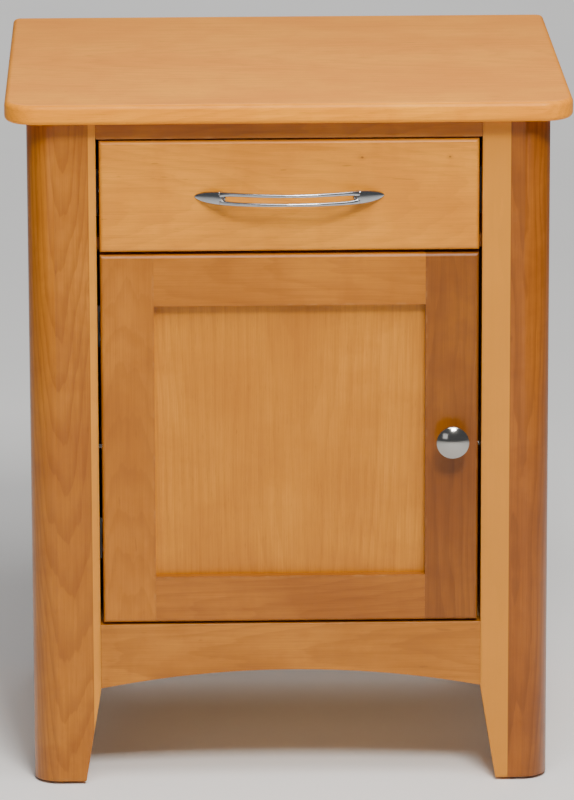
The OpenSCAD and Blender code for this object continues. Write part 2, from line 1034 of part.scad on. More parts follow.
module drawer_box_front() {
    color("#dcb984") difference() {
        block([-drawer_half, front_back_y, drawer_box_z0],
            [drawer_half, front_back_y + drawer_side_thickness, drawer_box_z1]);
        both_sides() tails(front_back_y, front_back_y + drawer_side_thickness);
        drawer_bottom_board();
        pull_screw_holes();
        drawer_front_screw_places() drawer_front_screw_hole();
    }
}

module drawer_back() {
    color("#dcb984") difference() {
        block([-drawer_half, drawer_back_y - drawer_side_thickness,
                drawer_bottom_z + drawer_bottom_thickness],
            [drawer_half, drawer_back_y, drawer_box_z1]);
        both_sides() back_tails();
    }
}

module drawer_bottom() {
    color("#e2c594") drawer_bottom_board();
}

// Bow pull: two round strands between leaf-shaped ends
pull_bow_radius = (pow(pull_length / 2, 2) + pow(pull_reach, 2)) / (2 * pull_reach);
pull_half_angle = asin(pull_length / 2 / pull_bow_radius);
pull_thickness = 4;
pull_strand_radius = 2;
pull_strand_offset = 4.7;
pull_leaf_x = pull_length / 2 - 17;
pull_leaf_half_length = 17;
pull_leaf_half_height = 6.7;
pull_post_radius = 4;

module pull_ring(profile_half_height) {
    translate([0, front_y - pull_reach + pull_bow_radius, drawer_mid_z])
        rotate([0, 0, 270 - pull_half_angle])
            rotate_extrude(angle = 2 * pull_half_angle, $fn = 180)
                translate([pull_bow_radius - pull_thickness, -profile_half_height])
                    square([pull_thickness, 2 * profile_half_height]);
}

module pull_strand(height) {
    strand_angle = asin((pull_leaf_x - 4) / pull_bow_radius);
    translate([0, front_y - pull_reach + pull_bow_radius, drawer_mid_z + height])
        rotate([0, 0, 270 - strand_angle])
            rotate_extrude(angle = 2 * strand_angle, $fn = 180)
                translate([pull_bow_radius - pull_strand_radius, 0])
                    circle(r = pull_strand_radius, $fn = 24);
}

module pull_leaf_outline() {
    leaf_radius = (pow(pull_leaf_half_length, 2) + pow(pull_leaf_half_height, 2))
        / (2 * pull_leaf_half_height);
    intersection_for (side = [-1, 1])
        translate([0, side * (leaf_radius - pull_leaf_half_height)])
            circle(r = leaf_radius, $fn = fine_fn);
}

module drawer_pull() {
    color("#d5d7da") difference() {
        union() {
            for (height = [-pull_strand_offset, pull_strand_offset])
                pull_strand(height);
            intersection() {
                pull_ring(pull_leaf_half_height + 1);
                for (side = [-1, 1])
                    translate([side * pull_leaf_x, 0, drawer_mid_z])
                        along_y(front_y - pull_reach, front_y) pull_leaf_outline();
            }
            pull_screw_places()
                translate([0, front_y, 0]) rotate([90, 0, 0])
                    cylinder(h = 9, r = pull_post_radius);
        }
        pull_screw_places()
            translate([0, front_y - 7, 0])
                screw_hole(machine_radius, 12);
    }
}

module drawer_pull_screws() {
    length = front_thickness + drawer_side_thickness + 6;
    color("#cfd1d3") pull_screw_places()
        translate([0, front_back_y + drawer_side_thickness, 0]) towards_front()
            screw(machine_radius, length, machine_head_radius, machine_head_height);
}

module drawer_screws() {
    color("#cfd1d3") {
        drawer_front_screw_places()
            screw(screw_radius, 26, screw_head_radius + 0.8, screw_head_height);
        both_sides()
            for (y = drawer_slide_screw_y)
                translate([-drawer_half - slide_sheet, y, slide_z]) towards_right()
                    screw(screw_radius, 10, screw_head_radius, screw_head_height);
    }
}

// ---------- door ----------

// The whole door frame as one eased board, which each member is cut from
module door_blank(low, high) {
    intersection() {
        eased_board(-front_half, front_half, front_y, front_back_y, door_z0, door_z1, edge_radius);
        block(low, high);
    }
}

module door_panel_board() {
    inner_x = front_half - stile_width + door_groove;
    block([-inner_x, door_panel_y, door_z0 + door_bottom_rail_height - door_groove],
        [inner_x, door_panel_y + panel_thickness, door_z1 - door_top_rail_height + door_groove]);
}

module door_rail_tenons(z0, z1) {
    reach = front_half - stile_width + door_tenon;
    block([-reach, door_panel_y, z0 + tenon_shoulder],
        [reach, door_panel_y + panel_thickness, z1 - tenon_shoulder]);
}

module door_stile(x0, x1) {
    difference() {
        door_blank([x0, front_y, door_z0], [x1, front_back_y, door_z1]);
        door_panel_board();
        door_rail_tenons(door_z1 - door_top_rail_height, door_z1);
        door_rail_tenons(door_z0, door_z0 + door_bottom_rail_height);
    }
}

module door_hinge_stile() {
    color("#c58537") difference() {
        door_stile(-front_half, -front_half + stile_width);
        for (z = hinge_heights)
            cup_bore(z);
    }
}

module door_latch_stile() {
    color("#a9682a") difference() {
        door_stile(front_half - stile_width, front_half);
        knob_screw_place() screw_hole(machine_radius, front_thickness + 1);
        strike_screw_place() wood_hole();
    }
}

module door_rail(z0, z1) {
    inner_x = front_half - stile_width;
    difference() {
        union() {
            door_blank([-inner_x, front_y, z0], [inner_x, front_back_y, z1]);
            door_rail_tenons(z0, z1);
        }
        door_panel_board();
    }
}

module door_top_rail() {
    color("#c48436") door_rail(door_z1 - door_top_rail_height, door_z1);
}

module door_bottom_rail() {
    color("#bd7c30") door_rail(door_z0, door_z0 + door_bottom_rail_height);
}

module door_panel() {
    color("#cf9144") door_panel_board();
}

// Places things that point along -Y at the knob's axis on the back of the door
module knob_screw_place() {
    translate([knob_x, front_back_y, door_mid_z]) towards_front() children();
}

// Half outline of the knob: a foot on the door, a neck and a domed head
module knob_outline() {
    head = knob_diameter / 2;
    rim = knob_reach - 8;
    dome_radius = (head * head + 64) / 16;
    dome_start = acos((dome_radius - 8) / dome_radius);
    neck_curve = 5;
    polygon(concat(
        [[0, 0], [9, 0], [9, 1.5]],
        arc([knob_neck_radius + neck_curve, 1.5 + neck_curve], neck_curve, 250, 180, 8),
        [[knob_neck_radius, rim - 6]],
        arc([knob_neck_radius + 4, rim - 6], 4, 180, 110, 6),
        [[head - 1, rim - 1.2], [head, rim]],
        arc([0, knob_reach - dome_radius], dome_radius, 90 - dome_start, 90, 12)
    ));
}

module door_knob() {
    color("#cfcfcb") difference() {
        translate([knob_x, front_y, door_mid_z]) rotate([90, 0, 0])
            rotate_extrude($fn = 64) knob_outline();
        translate([knob_x, front_y + 1, door_mid_z]) towards_front()
            screw_hole(machine_radius, 10);
    }
}

module door_knob_screw() {
    color("#cfd1d3") knob_screw_place()
        screw(machine_radius, front_thickness + 8, machine_head_radius, machine_head_height);
}

module door_screws() {
    color("#cfd1d3") {
        for (z = hinge_heights)
            for (dz = [-cup_screw_z, cup_screw_z])
                translate([cup_x, front_back_y + cup_flange, z + dz]) towards_front()
                    wood_screw();
        strike_screw_place() wood_screw();
    }
}

top_slab();
front_left_leg();
front_right_leg();
rear_left_leg();
rear_right_leg();
front_top_rail();
front_apron();
divider_rail();
rear_top_rail();
rear_bottom_rail();
left_side_top_rail();
left_side_bottom_rail();
left_side_panel();
right_side_top_rail();
right_side_bottom_rail();
right_side_panel();
back_panel();
cabinet_floor();
dust_panel();
floor_cleats();
dust_panel_cleats();
adjustable_shelf();
shelf_pins();
foot_glides();
top_brackets();
left_slide_case_member();
right_slide_case_member();
left_slide_middle_member();
right_slide_middle_member();
left_slide_drawer_member();
right_slide_drawer_member();
upper_hinge_arm();
lower_hinge_arm();
upper_hinge_plate();
lower_hinge_plate();
catch_housing();
catch_magnet();
case_screws();
drawer_front();
drawer_box_front();
drawer_left_side();
drawer_right_side();
drawer_back();
drawer_bottom();
drawer_pull();
drawer_pull_screws();
drawer_screws();
door_hinge_stile();
door_latch_stile();
door_top_rail();
door_bottom_rail();
door_panel();
door_knob();
door_knob_screw();
upper_hinge_cup();
lower_hinge_cup();
upper_hinge_pin();
lower_hinge_pin();
door_screws();
catch_strike_plate();
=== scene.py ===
"""Looks of the bedside cabinet: satin honey-stained hardwood, a chrome bow pull and a satin knob."""

import math

import bmesh
import bpy
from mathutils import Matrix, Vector


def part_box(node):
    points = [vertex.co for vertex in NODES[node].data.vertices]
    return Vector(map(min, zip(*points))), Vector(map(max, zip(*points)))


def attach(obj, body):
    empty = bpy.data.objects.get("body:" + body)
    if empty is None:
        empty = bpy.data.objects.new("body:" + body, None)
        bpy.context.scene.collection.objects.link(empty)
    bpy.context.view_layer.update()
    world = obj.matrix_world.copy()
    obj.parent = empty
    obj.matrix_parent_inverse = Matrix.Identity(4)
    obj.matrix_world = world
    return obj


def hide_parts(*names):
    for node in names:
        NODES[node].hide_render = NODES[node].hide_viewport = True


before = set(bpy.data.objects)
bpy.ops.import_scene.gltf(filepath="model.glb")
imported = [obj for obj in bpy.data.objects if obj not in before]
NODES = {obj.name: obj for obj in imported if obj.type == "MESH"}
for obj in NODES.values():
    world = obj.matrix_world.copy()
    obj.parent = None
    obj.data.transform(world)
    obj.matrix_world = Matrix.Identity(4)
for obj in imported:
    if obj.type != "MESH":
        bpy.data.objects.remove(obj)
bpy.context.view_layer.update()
MM = 0.001

# ---------- node-building helpers ----------


class Graph:
    """A small wrapper that adds nodes to one material and links them."""

    def __init__(self, name):
        self.material = bpy.data.materials.new(name)
        self.material.use_nodes = True
        self.tree = self.material.node_tree
        self.shader = self.tree.nodes["Principled BSDF"]

    def add(self, kind, inputs=None, **settings):
        node = self.tree.nodes.new(kind)
        for key, value in settings.items():
            setattr(node, key, value)
        for key, value in (inputs or {}).items():
            self.feed(node.inputs[key], value)
        return node

    def feed(self, socket, value):
        if isinstance(value, bpy.types.NodeSocket):
            self.tree.links.new(value, socket)
        else:
            socket.default_value = value

    def math(self, operation, a, b=0.0, c=0.0):
        return self.add("ShaderNodeMath", {0: a, 1: b, 2: c}, operation=operation).outputs[0]

    def smooth(self, value, low, high, to_low=0.0, to_high=1.0):
        inputs = {"Value": value, "From Min": low, "From Max": high}
        inputs.update({"To Min": to_low, "To Max": to_high})
        node = self.add("ShaderNodeMapRange", inputs, interpolation_type="SMOOTHSTEP")
        return node.outputs["Result"]

    def noise(self, vector, scale=1.0, detail=3.0, roughness=0.5):
        inputs = {"Vector": vector, "Scale": scale, "Detail": detail, "Roughness": roughness}
        return self.add("ShaderNodeTexNoise", inputs).outputs["Fac"]

    def stretched(self, vector, scale, shift=(0.0, 0.0, 0.0)):
        inputs = {"Vector": vector, "Scale": scale, "Location": shift}
        return self.add("ShaderNodeMapping", inputs).outputs["Vector"]

    def mix(self, factor, a, b):
        node = self.add("ShaderNodeMix", data_type="RGBA")
        self.feed(node.inputs[0], factor)
        self.feed(node.inputs[6], a)
        self.feed(node.inputs[7], b)
        return node.outputs[2]

    def combine(self, x, y, z):
        return self.add("ShaderNodeCombineXYZ", {"X": x, "Y": y, "Z": z}).outputs["Vector"]

    def split(self, vector):
        node = self.add("ShaderNodeSeparateXYZ", {"Vector": vector})
        return node.outputs["X"], node.outputs["Y"], node.outputs["Z"]

    def bump(self, height, distance, strength):
        inputs = {"Height": height, "Distance": distance, "Strength": strength}
        return self.add("ShaderNodeBump", inputs).outputs["Normal"]


def linear(hex_colour):
    """An sRGB hex colour as the linear RGBA that shaders use."""
    parts = [int(hex_colour[i : i + 2], 16) / 255 for i in (1, 3, 5)]
    return tuple(
        p / 12.92 if p <= 0.04045 else ((p + 0.055) / 1.055) ** 2.4 for p in parts
    ) + (1.0,)


# ---------- wood ----------

# How far the noise of a glued-on strip is moved, and how much further off its pith is, in metres.
STRIP_THROUGH = 0.31
STRIP_ALONG = 0.57
STRIP_PITH = 0.09
PORE_COLOUR = "#5a2f10"
FLECK_COLOUR = "#6b3a16"
KNOT_COLOUR = "#4a2409"
# The colour of the painted shade along the arrises.
EDGE_SHADE_COLOUR = "#7a4416"
# The colour of the painted highlights in spots along the arrises.
EDGE_HIGHLIGHT_COLOUR = "#e8b878"

# The grain frame's axes: across the board's face, through its thickness, along the grain.
GRAIN_AXES = {"x": (2, 1, 0), "z": (0, 1, 2), "top": (1, 2, 0), "side": (1, 0, 2), "side_y": (2, 0, 1)}


def knot_distance(g, across, along, knot_x, knot_along, squash):
    """Distance from a knot, drawn out along the grain where squash is below 1."""
    dx = g.math("SUBTRACT", across, knot_x)
    dz = g.math("SUBTRACT", along, knot_along)
    dz = g.math("MULTIPLY", dz, squash)
    return g.math("SQRT", g.math("ADD", g.math("POWER", dx, 2.0), g.math("POWER", dz, 2.0)))


def wood(name, node, tones, grain, seed, pith=55.0, ring=6.0, contrast=0.5, knots=(), glue_line=None,
         gloss=0.33, polish=1.0):
    """Wood for one board. tones is (light, dark, ring line). pith is how far behind the face, in
    millimetres, the rings are centred: small for cathedral grain, large for straight grain. A board
    laid up from two strips has its glue line at that place across, and the strip beyond is paler."""
    g = Graph(name)
    low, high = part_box(node)
    centre = (low + high) / 2
    place = g.add("ShaderNodeTexCoord").outputs["Object"]
    axes = g.split(place)
    across_i, through_i, along_i = GRAIN_AXES[grain]
    across = g.math("SUBTRACT", axes[across_i], centre[across_i])
    through = g.math("SUBTRACT", axes[through_i], centre[through_i])
    along = g.math("SUBTRACT", axes[along_i], centre[along_i])
    strip = 0.0
    if glue_line is not None:
        strip = g.smooth(across, glue_line - 0.1 * MM, glue_line + 0.1 * MM)
        if glue_line < 0:
            strip = g.math("SUBTRACT", 1.0, strip)
        through = g.math("MULTIPLY_ADD", strip, STRIP_THROUGH, through)
        along = g.math("MULTIPLY_ADD", strip, STRIP_ALONG, along)
    local = g.combine(across, through, along)
    shift = (seed * 1.37, seed * 2.11, seed * 0.73)

    # The rings wander slowly along the board and ripple a little.
    wander = g.noise(g.stretched(local, (5.0, 5.0, 1.6), shift), 1.0, 2.0)
    ripple = g.noise(g.stretched(local, (38.0, 38.0, 6.0), shift), 1.0, 3.0, 0.55)
    offset = (math.sin(seed * 3.1) * 18.0) * MM
    a = g.math("ADD", across, offset)
    a = g.math("MULTIPLY_ADD", g.math("SUBTRACT", wander, 0.5), 0.085, a)
    if glue_line is not None:
        through = g.math("MODULO", through, STRIP_THROUGH)
    b = g.math("ADD", through, pith * MM)
    if glue_line is not None:
        b = g.math("MULTIPLY_ADD", strip, STRIP_PITH, b)
    b = g.math("MULTIPLY_ADD", along, math.sin(seed * 5.3) * 0.10, b)
    b = g.math("MULTIPLY_ADD", g.math("SUBTRACT", ripple, 0.5), 0.012, b)
    pull = 0.0
    for knot_x, knot_along, size in knots:
        far = knot_distance(g, across, along, knot_x, knot_along, 0.55)
        bulge = g.smooth(far, 0.0, size * 6, size * 1.6, 0.0)
        pull = g.math("ADD", bulge, pull)
    b = g.math("ADD", b, pull)
    radius = g.math("SQRT", g.math("ADD", g.math("MULTIPLY", a, a), g.math("MULTIPLY", b, b)))
    turn = g.math("FRACT", g.math("DIVIDE", radius, ring * MM))
    late = g.math("MULTIPLY", g.smooth(turn, 0.35, 0.93), g.smooth(turn, 1.0, 0.93))

    # Fine fibres and pores run along the grain.
    fibre = g.noise(g.stretched(local, (900.0, 900.0, 14.0), shift), 1.0, 4.0, 0.65)
    streak = g.noise(g.stretched(local, (210.0, 210.0, 5.0), shift), 1.0, 3.0, 0.6)
    pores = g.smooth(g.noise(g.stretched(local, (1500.0, 1500.0, 75.0), shift), 1.0, 2.0), 0.62, 0.74)
    fleck = g.smooth(g.noise(g.stretched(local, (330.0, 330.0, 45.0), shift), 1.0, 1.0), 0.74, 0.80)
    blotch = g.noise(g.stretched(local, (11.0, 11.0, 6.0), shift), 1.0, 4.0, 0.55)
    cloud = g.noise(g.stretched(local, (3.2, 3.2, 2.0), shift), 1.0, 2.0)

    light, dark, line = [linear(tone) for tone in tones]
    figure = g.noise(g.stretched(local, (26.0, 26.0, 34.0), shift), 1.0, 3.0, 0.6)
    base = g.mix(g.smooth(blotch, 0.30, 0.72), light, dark)
    base = g.mix(g.smooth(figure, 0.42, 0.72, 0.0, 0.55), base, dark)
    base = g.mix(g.smooth(figure, 0.40, 0.20, 0.0, 0.25), base, light)
    base = g.mix(g.math("MULTIPLY", late, contrast), base, line)
    base = g.mix(g.smooth(streak, 0.45, 0.75, 0.0, 0.30 * contrast + 0.16), base, line)
    base = g.mix(g.smooth(fibre, 0.30, 0.80, 0.0, 0.34), base, line)
    base = g.mix(g.math("MULTIPLY", pores, 0.22), base, linear(PORE_COLOUR))
    base = g.mix(g.math("MULTIPLY", fleck, 0.35), base, linear(FLECK_COLOUR))
    base = g.mix(g.smooth(cloud, 0.30, 0.72, 0.16, 0.0), base, dark)
    if glue_line is not None:
        base = g.mix(g.math("MULTIPLY", strip, 0.6), base, linear(FRONT[0]))
        from_seam = g.math("ABSOLUTE", g.math("SUBTRACT", across, glue_line))
        base = g.mix(g.smooth(from_seam, 0.15 * MM, 0.6 * MM, 0.45, 0.0), base, line)
    for knot_x, knot_along, size in knots:
        far = knot_distance(g, across, along, knot_x, knot_along, 0.7)
        base = g.mix(g.smooth(far, size * 0.35, size * 1.2, 0.85, 0.0), base, linear(KNOT_COLOUR))
        base = g.mix(g.smooth(far, size, size * 4.0, 0.30, 0.0), base, line)

    # Painted shade darkens the wood along the arrises, with small painted highlights in spots along them.
    gaps = []
    for i, axis in enumerate(axes):
        half = (high[i] - low[i]) / 2
        gaps.append(g.math("SUBTRACT", half, g.math("ABSOLUTE", g.math("SUBTRACT", axis, centre[i]))))
    small = g.math("MINIMUM", gaps[0], gaps[1])
    large = g.math("MAXIMUM", gaps[0], gaps[1])
    to_edge = g.math("MAXIMUM", small, g.math("MINIMUM", large, gaps[2]))
    edge = g.smooth(to_edge, 0.2 * MM, 3.0 * MM, 1.0, 0.0)
    # Spots along the arrises that take a painted highlight; the same spots are a little rougher.
    highlight_spots = g.smooth(g.noise(g.stretched(local, (70.0, 70.0, 70.0), shift), 1.0, 3.0), 0.50, 0.72)
    base = g.mix(g.math("MULTIPLY", edge, 0.20), base, linear(EDGE_SHADE_COLOUR))
    painted_edge_highlight = g.math("MULTIPLY", g.math("MULTIPLY", edge, highlight_spots), 0.10)
    base = g.mix(painted_edge_highlight, base, linear(EDGE_HIGHLIGHT_COLOUR))

    g.feed(g.shader.inputs["Base Color"], base)
    rough = g.math("MULTIPLY_ADD", fibre, 0.10, gloss - 0.05)
    rough = g.math("MULTIPLY_ADD", blotch, 0.06, rough)
    rough = g.math("MULTIPLY_ADD", g.math("MULTIPLY", edge, highlight_spots), 0.10, rough)
    g.feed(g.shader.inputs["Roughness"], rough)
    g.shader.inputs["IOR"].default_value = 1.48
    g.shader.inputs["Coat Weight"].default_value = 0.10 * polish
    g.shader.inputs["Specular IOR Level"].default_value = 0.32 * polish
    g.shader.inputs["Coat Roughness"].default_value = 0.16
    height = g.math("MULTIPLY_ADD", fibre, 0.6, g.math("MULTIPLY", pores, -0.8))
    height = g.math("MULTIPLY_ADD", late, -0.4, height)
    orange_peel = g.noise(g.stretched(local, (420.0, 420.0, 260.0), shift), 1.0, 2.0)
    height = g.math("MULTIPLY_ADD", orange_peel, 0.5, height)
    g.feed(g.shader.inputs["Normal"], g.bump(height, 0.05 * MM, 0.55))
    return g.material


def pale_wood(name, node, grain, seed, tones=("#e3c595", "#cfa873", "#b88c58")):
    """Unstained, lacquered drawer-box wood or plywood."""
    return wood(name, node, tones, grain, seed, pith=70.0, ring=5.0, contrast=0.30, gloss=0.42)


# ---------- metal and plastic ----------


def metal(name, colour, roughness, brushed=None, spots=0.12):
    """Metal with faint handling smears, and brush lines along an axis where brushed names one."""
    g = Graph(name)
    place = g.add("ShaderNodeTexCoord").outputs["Object"]
    smear = g.noise(g.stretched(place, (60.0, 60.0, 60.0)), 1.0, 4.0, 0.6)
    grime = g.smooth(g.noise(g.stretched(place, (25.0, 25.0, 25.0)), 1.0, 3.0), 0.45, 0.75)
    stretch = {"x": (12.0, 1400.0, 1400.0), "y": (1400.0, 12.0, 1400.0), "z": (1400.0, 1400.0, 12.0)}
    lines = g.noise(g.stretched(place, stretch.get(brushed, (700.0, 700.0, 700.0))), 1.0, 2.0)
    bright = linear(colour)
    dull = tuple(c * 0.72 for c in bright[:3]) + (1.0,)
    tint = g.mix(g.math("MULTIPLY", grime, spots * 2), bright, dull)
    tint = g.mix(g.smooth(lines, 0.35, 0.7, 0.0, 0.14 if brushed else 0.05), tint, dull)
    g.feed(g.shader.inputs["Base Color"], tint)
    g.shader.inputs["Metallic"].default_value = 1.0
    rough = g.math("MULTIPLY_ADD", smear, spots, roughness - spots / 2)
    rough = g.math("MULTIPLY_ADD", grime, spots * 0.5, rough)
    g.feed(g.shader.inputs["Roughness"], rough)
    g.feed(g.shader.inputs["Normal"], g.bump(lines, (0.02 if brushed else 0.008) * MM, 0.5))
    return g.material


def plastic(name, colour, roughness):
    """Moulded plastic with a fine texture and slight scuffs."""
    g = Graph(name)
    place = g.add("ShaderNodeTexCoord").outputs["Object"]
    grit = g.noise(g.stretched(place, (1600.0,) * 3), 1.0, 2.0)
    scuff = g.smooth(g.noise(g.stretched(place, (90.0, 90.0, 30.0)), 1.0, 4.0), 0.55, 0.8)
    base = linear(colour)
    worn = tuple(min(1.0, c * 1.5 + 0.02) for c in base[:3]) + (1.0,)
    g.feed(g.shader.inputs["Base Color"], g.mix(g.math("MULTIPLY", scuff, 0.4), base, worn))
    g.feed(g.shader.inputs["Roughness"], g.math("MULTIPLY_ADD", scuff, 0.2, roughness))
    g.feed(g.shader.inputs["Normal"], g.bump(grit, 0.03 * MM, 0.4))
    return g.material


# ---------- boards ----------

# Stain tones: light wood, dark wood, ring line.
HONEY = ("#bb7319", "#9e5a10", "#713905")
TOP = ("#ffa723", "#ee9118", "#b9660c")
FRONT = ("#e99926", "#cf8019", "#9e580c")
DOOR = ("#bf761a", "#a45f10", "#7a4008")
PANEL = ("#d3881c", "#b97112", "#914f08")
DARK = ("#93550d", "#7a4007", "#5b2c03")
LEG_DARK = ("#a65f17", "#87480d", "#643106")
APRON = ("#c27a1f", "#a66313", "#7b4209")
LOW_RAIL = ("#b26b1a", "#97560f", "#703907")

# Each board's tones, grain, pith distance and ring spacing in millimetres, and ring contrast.
BOARDS = {
    "top_slab": (TOP, "top", 150.0, 4.5, 0.16),
    "front_left_leg": (HONEY, "z", 70.0, 5.0, 0.34),
    "front_right_leg": (LEG_DARK, "z", 60.0, 5.5, 0.40),
    "rear_left_leg": (HONEY, "z", 70.0, 5.0, 0.34),
    "rear_right_leg": (HONEY, "z", 60.0, 5.0, 0.34),
    "front_top_rail": (HONEY, "x", 90.0, 4.0, 0.22),
    "front_apron": (APRON, "x", 50.0, 5.0, 0.26),
    "divider_rail": (HONEY, "x", 80.0, 5.0, 0.26),
    "rear_top_rail": (HONEY, "x", 60.0, 5.0, 0.26),
    "rear_bottom_rail": (HONEY, "x", 60.0, 5.0, 0.26),
    "left_side_top_rail": (HONEY, "side_y", 60.0, 5.0, 0.26),
    "right_side_top_rail": (HONEY, "side_y", 45.0, 5.0, 0.26),
    "left_side_bottom_rail": (APRON, "side_y", 60.0, 5.0, 0.26),
    "right_side_bottom_rail": (APRON, "side_y", 45.0, 5.0, 0.26),
    "left_side_panel": (PANEL, "side", 48.0, 6.5, 0.26),
    "right_side_panel": (PANEL, "side", 44.0, 6.5, 0.26),
    "drawer_front": (FRONT, "x", 95.0, 4.5, 0.16),
    "door_hinge_stile": (DOOR, "z", 100.0, 4.0, 0.18),
    "door_latch_stile": (DARK, "z", 70.0, 4.0, 0.26),
    "door_top_rail": (DOOR, "x", 80.0, 4.5, 0.18),
    "door_bottom_rail": (LOW_RAIL, "x", 60.0, 4.5, 0.22),
    "door_panel": (PANEL, "z", 60.0, 7.0, 0.17),
}
# Where the two strips of a laid-up leg meet, from its middle.
GLUE_LINES = {"front_left_leg": 25.0 * MM, "front_right_leg": -5.6 * MM}
PALE_BOARDS = {
    "drawer_box_front": "x", "drawer_left_side": "side_y", "drawer_right_side": "side_y",
    "drawer_back": "x", "drawer_bottom": "top", "back_panel": "z", "dust_panel": "top",
    "cabinet_floor": "top", "adjustable_shelf": "top", "floor_cleats": "side_y",
    "dust_panel_cleats": "side_y",
}
# Pin knots: place across, place along, size.
KNOTS = {
    "drawer_front": ((0.036, 0.068, 1.1 * MM), (0.036, 0.150, 0.9 * MM)),
    "front_left_leg": ((0.026, 0.160, 1.6 * MM),),
    "front_right_leg": ((-0.006, 0.110, 1.0 * MM),),
}


def dress(node, material):
    slots = NODES[node].data.materials
    slots.clear()
    slots.append(material)


def soften(node, width=0.6 * MM, segments=2):
    """Breaks a CAD board's sharp edges, as sanding does."""
    piece = NODES[node]
    weld = piece.modifiers.new("weld", "WELD")
    weld.merge_threshold = 0.01 * MM
    bevel = piece.modifiers.new("soften", "BEVEL")
    bevel.width = width
    bevel.segments = segments
    bevel.limit_method = "ANGLE"
    bevel.angle_limit = math.radians(35)
    bevel.harden_normals = True


def dress_boards():
    for seed, (node, (tones, grain, pith, ring, contrast)) in enumerate(BOARDS.items(), 1):
        knots = KNOTS.get(node, ())
        glue_line = GLUE_LINES.get(node)
        dress(node, wood("wood_" + node, node, tones, grain, seed, pith, ring, contrast, knots, glue_line,
                         polish=0.35 if node == "top_slab" else 1.0))
        soften(node)
    for seed, (node, grain) in enumerate(PALE_BOARDS.items(), len(BOARDS) + 1):
        dress(node, pale_wood("pale_" + node, node, grain, seed))
        soften(node, 0.4 * MM)


def dress_hardware():
    # The slides are coloured near black: painted shade that keeps the gaps round the drawer dark.
    shaded_slide_metal = metal("zinc_sheet", "#3c3e40", 0.34, "y")
    zinc = metal("zinc_plate", "#4e5052", 0.30, "z")
    steel = metal("screw_steel", "#b9bbbd", 0.32)
    nylon = plastic("nylon", "#8f8b84", 0.5)
    brown = plastic("brown_plastic", "#5b3d22", 0.45)
    magnet = plastic("magnet_block", "#3c3c3e", 0.6)
    for node in NODES:
        if node in BOARDS or node in PALE_BOARDS:
            continue
        if "slide" in node:
            dress(node, shaded_slide_metal)
        elif "screw" in node or "pin" in node:
            dress(node, steel)
        elif node == "foot_glides":
            dress(node, nylon)
        elif node == "catch_housing":
            dress(node, brown)
        elif node == "catch_magnet":
            dress(node, magnet)
        else:
            dress(node, zinc)


# ---------- sculpted handles ----------


def new_piece(name, mesh_builder, material, body, replaced):
    mesh = bpy.data.meshes.new(name)
    mesh_builder(mesh)
    piece = bpy.data.objects.new(name, mesh)
    bpy.context.scene.collection.objects.link(piece)
    mesh.materials.append(material)
    for polygon in mesh.polygons:
        polygon.use_smooth = True
    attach(piece, body)
    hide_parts(replaced)


def lathe(mesh, outline, centre, segments=96):
    """Turns an outline of (radius, height) about an axis along -Y through centre."""
    shape = bmesh.new()
    rings = []
    for radius, height in outline:
        if radius == 0.0:
            rings.append([shape.verts.new(centre + Vector((0, -height, 0)))])
            continue
        ring = []
        for i in range(segments):
            turn = math.tau * i / segments
            ring.append(shape.verts.new(centre + Vector(
                (radius * math.cos(turn), -height, radius * math.sin(turn)))))
        rings.append(ring)
    for low, high in zip(rings, rings[1:]):
        for i in range(segments):
            j = (i + 1) % segments
            if len(low) == 1:
                shape.faces.new((low[0], high[i], high[j]))
            elif len(high) == 1:
                shape.faces.new((low[i], low[j], high[0]))
            else:
                shape.faces.new((low[i], low[j], high[j], high[i]))
    bmesh.ops.recalc_face_normals(shape, faces=shape.faces)
    shape.to_mesh(mesh)
    shape.free()


def curve_points(centre, radii, sweep_from, sweep_to, steps):
    """An arc about a (radius, height) centre, between two angles in degrees."""
    points = []
    for i in range(steps + 1):
        angle = math.radians(sweep_from + (sweep_to - sweep_from) * i / steps)
        points.append((centre[0] + radii[0] * math.cos(angle), centre[1] + radii[1] * math.sin(angle)))
    return points


def knob_outline(low, high):
    """Foot, waisted neck, rolled rim and a low dome, as (radius, height) from the door."""
    head = (high.x - low.x) / 2
    reach = high.y - low.y
    rim_roll = 2.2 * MM
    rim_height = reach - 7.6 * MM
    neck = 5.9 * MM
    foot = 9.0 * MM
    foot_top = 1.9 * MM
    shoulder = 8.4 * MM
    outline = [(0.0, 0.0), (8.6 * MM, 0.0), (foot, 0.5 * MM), (foot, 1.2 * MM), (shoulder, foot_top)]
    for i in range(1, 15):
        t = i / 14
        height = foot_top + t * (rim_height - 3.6 * MM)
        flare = (shoulder - neck) * (1 - t) ** 3 + 4.2 * MM * t**4
        outline.append((neck + flare, height))
    under = outline[-1]
    for i in range(1, 8):
        t = i / 8
        outline.append((under[0] + (head - rim_roll - under[0]) * t,
                        under[1] + (rim_height - rim_roll * 0.3 - under[1]) * t**1.6))
    outline += curve_points((head - rim_roll, rim_height + rim_roll * 0.7), (rim_roll, rim_roll), -90, 40, 10)
    edge_radius, edge_height = outline[-1]
    for i in range(1, 19):
        t = i / 18
        radius = edge_radius * (1 - t)
        outline.append((radius, edge_height + (reach - edge_height) * (1 - (1 - t) ** 2.15)))
    outline[-1] = (0.0, reach)
    return outline


def build_knob(mesh):
    low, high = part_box("door_knob")
    centre = Vector(((low.x + high.x) / 2, high.y, (low.z + high.z) / 2))
    lathe(mesh, knob_outline(low, high), centre)


# Places along the pull, as parts of its half length.
PULL_SLOT_END = 0.705
PULL_LEAF_START = 0.66
PULL_STRAND_END = 0.72
PULL_LEAF_FROM = 0.69
PULL_LEAF_LENGTH = 0.3085
PULL_FADE = 0.03
LEAF_STEPS = 40
POST_SIDES = 24


